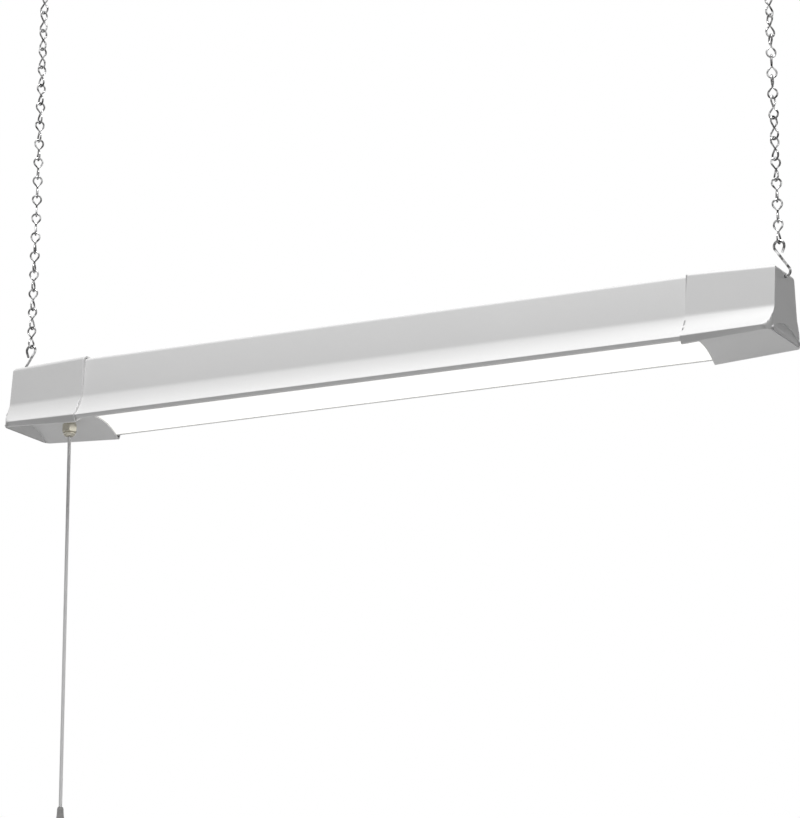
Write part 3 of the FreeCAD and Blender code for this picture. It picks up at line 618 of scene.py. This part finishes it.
# the outline at a share of the way from the open end to the closed one
def capSection(cap, share):
    spare = cap["gap"] + cap["wall"]
    side, tip, lift = cap["taperSide"] * share, cap["taperTip"] * share, cap["taperRim"] * share
    crease = (housingSheet["creaseHalf"] + spare - side, housingSheet["crease"])
    top = housingSheet["top"] + spare - cap["taperTop"] * share
    topHalf = housingSheet["topHalf"] + spare - side
    edge = (housingSheet["tipHalf"] + spare - tip, cap["taperEdge"] * share)
    lipHalf = housingSheet["lipHalf"] + cap["gap"] + cap["lipWall"] - tip
    lip = (lipHalf, lift - cap["rimDrop"])
    arch = (lipHalf - cap["rimWidth"], lift - cap["rimDrop"])
    setback = housingSheet["topRound"] + cap["wall"] / 2
    back = shoulderPoints(topHalf, top, crease, setback, housingSheet["shoulderBow"])
    flare = arcStretch(crease, edge, -housingSheet["hollow"], housingSheet["flareSteps"])
    half = back + softCorner(back[-1], crease, flare[0], housingSheet["creaseSoft"]) + flare[1:-1]
    half += softCorner(flare[-2], edge, lip, cap["tipSoft"]) + softCorner(edge, lip, arch, cap["lipSoft"], 3)
    foot = [Vector(arch)] + arcStretch(arch, (-arch[0], arch[1]), -cap["archRise"], cap["archSteps"])
    return half + foot + mirrored(half)


# how far a round of this radius has drawn in at x, near the closed end
def cornerLoss(x, end, radius):
    depth = max(0.0, x - (end - radius))
    return radius - math.sqrt(max(0.0, radius * radius - depth * depth))


# a cylinder to cut a hole with
def drill(middle, radius, axis, depth=0.012, sides=40):
    shape = bmesh.new()
    bmesh.ops.create_cone(shape, cap_ends=True, segments=sides, radius1=radius, radius2=radius, depth=depth)
    turn = Matrix.Rotation(math.radians(90), 4, "Y") if axis == "X" else Matrix()
    bmesh.ops.transform(shape, matrix=Matrix.Translation(middle) @ turn, verts=shape.verts)
    mesh = bpy.data.meshes.new("drill")
    shape.to_mesh(mesh)
    shape.free()
    return newPiece("drill", mesh)


def makeEndCap(cap, side, name, node):
    start, end, rim = light["seam"], light["capEnd"], light["rimLevel"]
    roundStart = end - cap["cornerRound"]
    stations = [start, start + cap["mouthBand"]]
    for number in range(1, cap["spans"] + 1):
        stations.append(start + (roundStart - start) * number / cap["spans"])
    for number in range(1, cap["roundSteps"] + 1):
        angle = math.radians(90 * number / cap["roundSteps"])
        stations.append(roundStart + cap["cornerRound"] * math.sin(angle))
    spare = cap["gap"] + cap["wall"]
    endHalf = housingSheet["tipHalf"] + spare - cap["taperTip"]
    endTop = housingSheet["top"] + spare - cap["taperTop"]
    sections = []
    for x in stations:
        section = capSection(cap, (x - start) / (end - start))
        halfLimit = endHalf - cornerLoss(x, end, cap["cornerRound"])
        topLimit = endTop - cornerLoss(x, end, cap["edgeRound"])
        if x > roundStart - cap["edgeRound"]:
            section = [Vector((max(-halfLimit, min(halfLimit, point.x)), min(topLimit, point.y)))
                       for point in section]
        sections.append([point + Vector((0, rim)) for point in section])
    corners, faces = sweptStrip([x * side for x in stations], sections, closed=True)
    count = len(sections[0])
    faces.append(tuple(range(len(corners) - count, len(corners))))
    shell = cleaned(meshPiece(name, corners, faces), join=0.00001)
    shell = thickened(shell, cap["wall"], even=False)
    shell = bevelled(cleaned(shell), cap["softEdge"], segments=3, degrees=38)
    holes = [drill((end * side, 0, rim + cap["eyeLevel"]), cap["eyeRadius"], "X")]
    if side < 0:
        holes.append(drill((end * side, 0, rim + cap["inletLevel"]), cap["inletRadius"], "X"))
        holes.append(drill((light["switchX"], 0, rim + cap["neckLevel"]), cap["neckRadius"], "Z"))
    for hole in holes:
        bore = shell.modifiers.new("hole", "BOOLEAN")
        bore.operation = "DIFFERENCE"
        bore.solver = "EXACT"
        bore.object = hole
    shell = settled(shell)
    for hole in holes:
        bpy.data.objects.remove(hole)
    dress(evenShade(smoothed(shell, 32)), "light", node)


for side, word in bothEnds:
    makeEndCap(endCap, side, word + "Cap", word + "_end_cap")
print("end caps moulded")


opalArch = {
    "half": 0.044,
    "foot": -0.0025,
    "rise": 0.0134,
    "steps": 40,
    "wall": 0.0014,
    "end": 0.3655,
}


def makeLens(lens):
    start = (lens["half"], lens["foot"] + light["rimLevel"])
    end = (-lens["half"], lens["foot"] + light["rimLevel"])
    section = [Vector(start)] + arcStretch(start, end, -lens["rise"], lens["steps"])
    sheet = meshPiece("lensSheet", *sweptStrip((-lens["end"], lens["end"]), [section] * 2))
    dress(smoothed(cleaned(thickened(sheet, lens["wall"], 1.0)), 40), "light", "lens")


makeLens(opalArch)
print("lens fitted")


hookWire = {
    "radius": 0.0014,
    "bend": 0.0056,
    "height": 0.0277,      # between the centres of the two bends
    "lean": 0.0058,
    "wrap": -20.0,         # degrees, where a bend's round part ends
    "tail": 0.006,
    "lowEnd": -150.0,
    "middle": 0.4547,      # lower hook, from the light's middle
    "seat": 0.0682,        # levels are above the rim
    "upperLow": 0.5520,
    "bendSteps": 20,
    "lowSteps": 14,
    "sides": 14,
}


def arcPath(centre, radius, start, end, count):
    angles = [math.radians(start + (end - start) * number / count) for number in range(count + 1)]
    return [Vector((centre.x + radius * math.cos(a), 0, centre.z + radius * math.sin(a))) for a in angles]


# an S in the XZ plane, with a tail on its upper end and, where the foot is closed, on its lower one
def sHookPath(hook, lean, closedFoot):
    top = Vector((-lean / 2, 0, hook["height"] / 2))
    foot = -top
    leave = math.degrees(math.atan2(top.z, top.x) + math.asin(hook["bend"] / top.length)) + 90
    upper = arcPath(top, hook["bend"], hook["wrap"], leave, hook["bendSteps"])
    turn = math.radians(hook["wrap"])
    heading = Vector((math.sin(turn), 0, -math.cos(turn))) * hook["tail"]
    path = [upper[0] + heading] + upper
    if closedFoot:
        lower = arcPath(foot, hook["bend"], leave - 180, hook["wrap"] - 180, hook["bendSteps"])
        return path + lower + [lower[-1] - heading]
    return path + arcPath(foot, hook["bend"], leave - 180, hook["lowEnd"], hook["lowSteps"])


# round wire along a path
def wirePiece(name, path, radius, sides):
    curve = bpy.data.curves.new(name, "CURVE")
    curve.dimensions = "3D"
    curve.bevel_depth = radius
    curve.bevel_resolution = sides // 2 - 1
    curve.use_fill_caps = True
    spline = curve.splines.new("POLY")
    spline.points.add(len(path) - 1)
    for point, spot in zip(spline.points, path):
        point.co = (*spot, 1)
    return cleaned(settled(newPiece(name, curve)))


def makeHooks(hook):
    rise = hook["height"] / 2 + light["rimLevel"]
    lower = (sHookPath(hook, hook["lean"], False), hook["middle"], hook["seat"] + rise)
    upper = (sHookPath(hook, 0.0, True), light["hookTop"], hook["upperLow"] + rise)
    for side, word in bothEnds:
        for (path, middle, level), ending, body in ((lower, "lower", "light"), (upper, "upper", "hangers")):
            route = [Vector(((point.x + middle) * side, 0, point.z + level)) for point in path]
            wire = wirePiece(word + ending.capitalize() + "Hook", route, hook["radius"], hook["sides"])
            dress(smoothed(wire, 50), body, word + "_" + ending + "_hook")


makeHooks(hookWire)
print("hooks bent")


jackChain = {
    "links": 20,
    "pitch": 0.0224,
    "wire": 0.00105,       # radius
    "bend": 0.0049,
    "play": 0.0003,
    "leftTwist": 90.0,     # degrees, from the chain's foot to its top
    "rightTwist": 270.0,
}


class Weave(NodeTree):  # a Geometry Nodes tree with named sizes

    def __init__(self, name, sizes):
        self.tree = bpy.data.node_groups.new(name, "GeometryNodeTree")
        super().__init__(self.tree)
        self.tree.interface.new_socket("Geometry", in_out="OUTPUT", socket_type="NodeSocketGeometry")
        self.values = {}
        for size, value in sizes.items():
            kind = "NodeSocketInt" if isinstance(value, int) else "NodeSocketFloat"
            socket = self.tree.interface.new_socket(size, in_out="INPUT", socket_type=kind)
            self.values[socket.identifier] = value
        self.source = self.nodes.new("NodeGroupInput")

    def size(self, name):
        return Signal(self, self.source.outputs[name])

    def point(self, x=0.0, y=0.0, z=0.0):
        return self.add("ShaderNodeCombineXYZ", inputs={"X": x, "Y": y, "Z": z})

    def piece(self, name, geometry, material):
        plain = self.add("GeometryNodeRealizeInstances", inputs={"Geometry": geometry})
        coated = self.add("GeometryNodeSetMaterial", inputs={"Geometry": plain, "Material": material})
        self.put(self.nodes.new("NodeGroupOutput").inputs[0], coated)
        carrier = newPiece(name, bpy.data.meshes.new(name))
        modifier = carrier.modifiers.new(name, "NODES")
        modifier.node_group = self.tree
        for identifier, value in self.values.items():
            modifier[identifier] = value
        return settled(carrier)


# the upper loop of a link: a round bend and two straight legs to the waist
def linkLoop(weave, centre, slope):
    bend = weave.size("Bend")
    arc = weave.add("GeometryNodeCurveArc", {"mode": "RADIUS"}, {
        "Resolution": 18, "Radius": bend, "Start Angle": slope * -1.0, "Sweep Angle": slope * 2.0 + math.pi})
    raised = weave.add("GeometryNodeTransform", inputs={
        "Geometry": arc, "Translation": weave.point(z=centre), "Rotation": (math.pi / 2, 0, 0)})
    outer = bend * weave.maths("COSINE", slope)
    level = centre - bend * weave.maths("SINE", slope)
    legs = []
    for way in (1.0, -1.0):
        ends = {"Start": weave.point(x=outer * way, z=level), "End": (0, 0, 0)}
        legs.append(weave.add("GeometryNodeCurvePrimitiveLine", inputs=ends))
    runs = weave.add("GeometryNodeJoinGeometry", inputs={"Geometry": [raised] + legs})
    edges = weave.add("GeometryNodeCurveToMesh", inputs={"Curve": runs})
    welded = weave.add("GeometryNodeMergeByDistance", inputs={"Geometry": edges, "Distance": 0.00002})
    return weave.add("GeometryNodeMeshToCurve", inputs={"Mesh": welded})


def makeChain(chain, side, twist, name, node):
    foot, top = light["hookFoot"], light["hookTop"]
    lean = math.asin((foot - top) / (light["chainTop"] - light["chainFoot"]))
    weave = Weave(name, {
        "Links": chain["links"], "Pitch": chain["pitch"], "Wire": chain["wire"], "Bend": chain["bend"],
        "Play": chain["play"], "Twist": math.radians(twist), "Foot": foot * side,
        "Level": light["chainFoot"] + light["rimLevel"], "Lean": -lean * side})
    links, pitch, wire, bend = (weave.size(size) for size in ("Links", "Pitch", "Wire", "Bend"))
    reach = pitch * 0.5 + (wire + weave.size("Play") * 0.5)  # from a link's waist to the outside of its wire
    centre = reach - bend
    slope = weave.maths("ARCSINE", bend / centre)
    ring = weave.add("GeometryNodeCurvePrimitiveCircle", {"mode": "RADIUS"}, {"Resolution": 10, "Radius": wire})
    loop = weave.add("GeometryNodeCurveToMesh", inputs={
        "Curve": linkLoop(weave, centre, slope), "Profile Curve": ring})
    lower = weave.add("GeometryNodeTransform", inputs={"Geometry": loop, "Rotation": (math.pi, 0, math.pi / 2)})
    link = weave.add("GeometryNodeJoinGeometry", inputs={"Geometry": [loop, lower]})
    smooth = weave.add("GeometryNodeSetShadeSmooth", inputs={"Geometry": link})
    stack = weave.add("GeometryNodeMeshLine", {"mode": "OFFSET"}, {
        "Count": links, "Start Location": weave.point(z=reach), "Offset": weave.point(z=pitch)})
    turn = weave.size("Twist") * weave.add("GeometryNodeInputIndex") / (links - 1.0)
    turned = weave.add("GeometryNodeInstanceOnPoints", inputs={
        "Points": stack, "Instance": smooth, "Rotation": weave.point(z=turn)})
    hung = weave.add("GeometryNodeTransform", inputs={
        "Geometry": turned, "Translation": weave.point(x=weave.size("Foot"), z=weave.size("Level")),
        "Rotation": weave.point(y=weave.size("Lean"))})
    dress(weave.piece(name, hung, finishes["zinc_wire"]), node, node)


for side, word in bothEnds:
    makeChain(jackChain, side, jackChain[word + "Twist"], word + "Chain", word + "_chain")
print("chains linked")


ceilingHook = {
    "wire": 0.0016,
    "bend": 0.0062,
    "ring": 0.5882,        # middle of the ring above the rim
    "sweep": 285.0,
    "ringSteps": 40,
    "wireSides": 16,
    "shank": 0.0022,
    "thread": 0.026,
    "threadPitch": 0.0018,
    "threadDepth": 0.0005,
    "threadStart": 0.0005,
    "threadSides": 28,
    "threadRows": 96,
    "point": 0.006,        # length of the tapered end
    "bluntness": 0.25,     # what is left of the radius at its tip
    "collar": 0.0044,
    "collarHeight": 0.0014,
    "collarEdge": 0.0004,
    "collarSides": 40,
}


# a screw shank whose radius follows a helix above the ceiling
def threadedShank(hook, x, foot):
    corners = []
    sides, rows = hook["threadSides"], hook["threadRows"]
    for row in range(rows + 1):
        level = foot + (hook["thread"] - foot) * row / rows
        for number in range(sides):
            turn = number / sides
            groove = abs(((level / hook["threadPitch"] - turn) % 1.0) - 0.5) * 2
            point = min(1.0, (hook["thread"] - level) / hook["point"])
            radius = hook["shank"] - (hook["threadDepth"] * groove if level > hook["threadStart"] else 0)
            radius *= hook["bluntness"] + (1 - hook["bluntness"]) * point
            angle = 2 * math.pi * turn
            corners.append((x + radius * math.cos(angle), radius * math.sin(angle), level))
    ends = [tuple(reversed(range(sides))), tuple(range(rows * sides, (rows + 1) * sides))]
    return corners, gridFaces(rows + 1, sides) + ends


# several meshes as one piece
def joined(name, *pieces):
    shape = bmesh.new()
    for piece in pieces:
        shape.from_mesh(piece.data)
    mesh = bpy.data.meshes.new(name)
    shape.to_mesh(mesh)
    shape.free()
    for piece in pieces:
        bpy.data.objects.remove(piece)
    return smoothed(newPiece(name, mesh), 40)


def makeCeilingHook(hook, side, name, node):
    x = light["hookTop"] * side
    level = hook["ring"] + light["rimLevel"]
    ring = arcPath(Vector((0, 0, level)), hook["bend"], 90, 90 + hook["sweep"], hook["ringSteps"])
    ring = [Vector((x, point.x, point.z)) for point in ring]
    bow = wirePiece(name + "Ring", ring, hook["wire"], hook["wireSides"])
    shank = meshPiece(name + "Shank", *threadedShank(hook, x, level + hook["bend"] - hook["wire"] / 2))
    core, wide = hook["shank"] / 2, hook["collar"]
    height, edge = hook["collarHeight"], hook["collarEdge"]
    collar = latheRing(name + "Collar", [
        (core, 0), (core, -height), (wide - edge, -height), (wide, edge - height), (wide, 0)],
        (x, 0, 0), hook["collarSides"])
    dress(joined(name, bow, cleaned(shank), collar), "ceiling", node)


for side, word in bothEnds:
    makeCeilingHook(ceilingHook, side, word + "CeilingHook", word + "_ceiling_hook")
print("ceiling hooks screwed in")


# levels are above the rim
pullSwitch = {
    "bore": 0.0051,
    "softEdge": 0.0004,
    "collarTop": 0.0078,
    "collarRadius": 0.0069,
    "nutTop": 0.0031,
    "nutRadius": 0.0090,
    "nutChamfer": 0.0009,
    "nutSides": 72,
    "crownShare": 0.97,    # of the width over the flats, at the nut's two faces
    "crownCurve": 0.7,
    "nozzleTop": -0.0059,
    "nozzleFoot": -0.0106,
    "nozzleRadius": 0.0066,
    "mouth": 0.0034,
    "mouthLip": 0.0008,
    "throat": 0.0024,
    "throatBow": 0.0004,
}
switchMiddle = (light["switchX"], 0, light["rimLevel"])


def makeCollar(switch):
    low, high, edge = switch["nutTop"], switch["collarTop"], switch["softEdge"]
    bore, wide = switch["bore"], switch["collarRadius"]
    ring = latheRing("switchCollar", [
        (bore, low), (wide - edge, low), (wide, low + edge), (wide, high - edge), (wide - edge, high),
        (bore, high)], switchMiddle)
    dress(smoothed(ring), "light", "switch_collar")


# a hexagon nut with chamfered corners
def makeNut(switch):
    low, high, edge = switch["nozzleTop"], switch["nutTop"], switch["softEdge"]
    sides, chamfer, wide = switch["nutSides"], switch["nutChamfer"], switch["nutRadius"]
    flat = wide * math.cos(math.pi / 6)
    face = flat * switch["crownShare"]
    rings = []
    for level in (low, low + edge, low + chamfer, high - chamfer, high - edge, high):
        spare = min(1.0, min(level - low, high - level) / chamfer)
        rings.append((level, face + (wide - face) * spare ** switch["crownCurve"]))
    rings += [(high, switch["bore"]), (low, switch["bore"])]
    corners = []
    for level, crown in rings:
        for number in range(sides):
            angle = 2 * math.pi * number / sides
            fold = (angle + math.pi / 6) % (math.pi / 3) - math.pi / 6
            radius = min(crown, flat / math.cos(abs(fold) - math.pi / 6))
            corners.append((light["switchX"] + radius * math.cos(angle), radius * math.sin(angle),
                            light["rimLevel"] + level))
    nut = meshPiece("switchNut", corners, gridFaces(len(rings), sides, wrapped=True))
    dress(smoothed(cleaned(nut), 20), "light", "switch_nut")


def makeNozzle(switch):
    low, high = switch["nozzleFoot"], switch["nozzleTop"]
    mouth, throat, wide = switch["mouth"], switch["throat"], switch["nozzleRadius"]
    outer = arcStretch((wide, high), (mouth + switch["mouthLip"], low), (high - low) / 4, 12)
    inner = arcStretch((mouth, low), (throat, high), switch["throatBow"], 8)
    profile = [Vector((throat, high)), Vector((wide, high))] + outer + [Vector((mouth, low))] + inner[:-1]
    dress(smoothed(latheRing("switchNozzle", profile, switchMiddle)), "light", "switch_nozzle")


makeCollar(pullSwitch)
makeNut(pullSwitch)
makeNozzle(pullSwitch)
print("pull switch fitted")


cordBell = {
    "foot": -0.4541,       # below the rim
    "height": 0.027,
    "neck": 0.0036,
    "neckSoft": 0.0006,
    "radius": 0.008,
    "wall": 0.0012,
    "bore": 0.0020,
    "throat": 0.0037,
    "sides": 56,
}
cordKnot = {
    "drop": 0.00255,       # middle of the knot below the bell's shoulder
    "loop": 0.00062,
    "rise": 0.0012,
    "strand": 0.0011,
    "steps": 96,
    "sides": 12,
}


def makeBell(bell):
    foot, top, middle = bell["foot"], bell["foot"] + bell["height"], bell["foot"] + bell["height"] / 2
    inner = Vector((bell["radius"] - bell["wall"], foot))
    flank = arcStretch((bell["neck"], top), (bell["radius"], foot), -bell["wall"], 24)
    inside = arcStretch(inner, (bell["throat"], middle), -bell["wall"] / 2, 12)
    profile = [Vector((bell["bore"], top)), Vector((bell["neck"] - bell["neckSoft"], top))] + flank[1:]
    profile += [inner] + inside + [Vector((bell["bore"], middle))]
    return dress(smoothed(latheRing("cordBell", profile, switchMiddle, bell["sides"])), "pull", "pull_bell")


# an overhand knot below the bell's shoulder
def makeKnot(knot, shoulder):
    middle = shoulder - knot["drop"] + light["rimLevel"]
    path = []
    for number in range(knot["steps"] + 1):
        turn = 2 * math.pi * number / knot["steps"]
        wide = knot["loop"] * (2 + math.cos(3 * turn))
        path.append(Vector((light["switchX"] + wide * math.cos(2 * turn), wide * math.sin(2 * turn),
                            middle + knot["rise"] * math.sin(3 * turn))))
    return dress(smoothed(wirePiece("cordKnot", path, knot["strand"], knot["sides"]), 60), "pull", "cord_knot")


bell = makeBell(cordBell)
knot = makeKnot(cordKnot, cordBell["foot"] + cordBell["height"] / 2)
print("bell threaded")


studio = {
    "floorLevel": -1.62,
    "floorSize": 14.0,
    "skyForLight": 0.08,   # strength of the white sky as the object's light
    "keyPlace": (0.27, -0.75, 1.7),
    "keySize": 1.0,
    "keyPower": 73.0,
}


def makeFloor(setup):
    half, level = setup["floorSize"] / 2, setup["floorLevel"]
    corners = [(-half, -half, level), (half, -half, level), (half, half, level), (-half, half, level)]
    floor = meshPiece("studioFloor", corners, [(0, 1, 2, 3)])
    pale = Recipe("paleFloor")
    floor.data.materials.append(pale.finish(Base_Color=grey(0.95), Roughness=0.7))


def makeSky(setup):
    world = bpy.data.worlds.new("studioSky")
    bpy.context.scene.world = world
    world.use_nodes = True
    sky = NodeTree(world.node_tree)
    background = sky.nodes["Background"]
    seen, shone, passed = (sky.add("ShaderNodeLightPath", output=ray)
                           for ray in ("Is Camera Ray", "Is Glossy Ray", "Is Transmission Ray"))
    white = sky.maths("MAXIMUM", sky.maths("MAXIMUM", seen, shone), passed)
    sky.put(background.inputs["Color"], grey(1.0))
    sky.put(background.inputs["Strength"], white * (1 - setup["skyForLight"]) + setup["skyForLight"])


def makeKeyLamp(setup):
    lamp = bpy.data.lights.new("keyLamp", "AREA")
    lamp.size = setup["keySize"]
    lamp.energy = setup["keyPower"]
    holder = bpy.data.objects.new("keyLamp", lamp)
    place = Vector(setup["keyPlace"])
    holder.location = place
    holder.rotation_euler = (Vector((0, 0, light["rimLevel"])) - place).to_track_quat("-Z", "Y").to_euler()
    bpy.context.collection.objects.link(holder)


makeFloor(studio)
makeSky(studio)
makeKeyLamp(studio)
bpy.context.scene.view_settings.view_transform = "Standard"
print("studio lit")
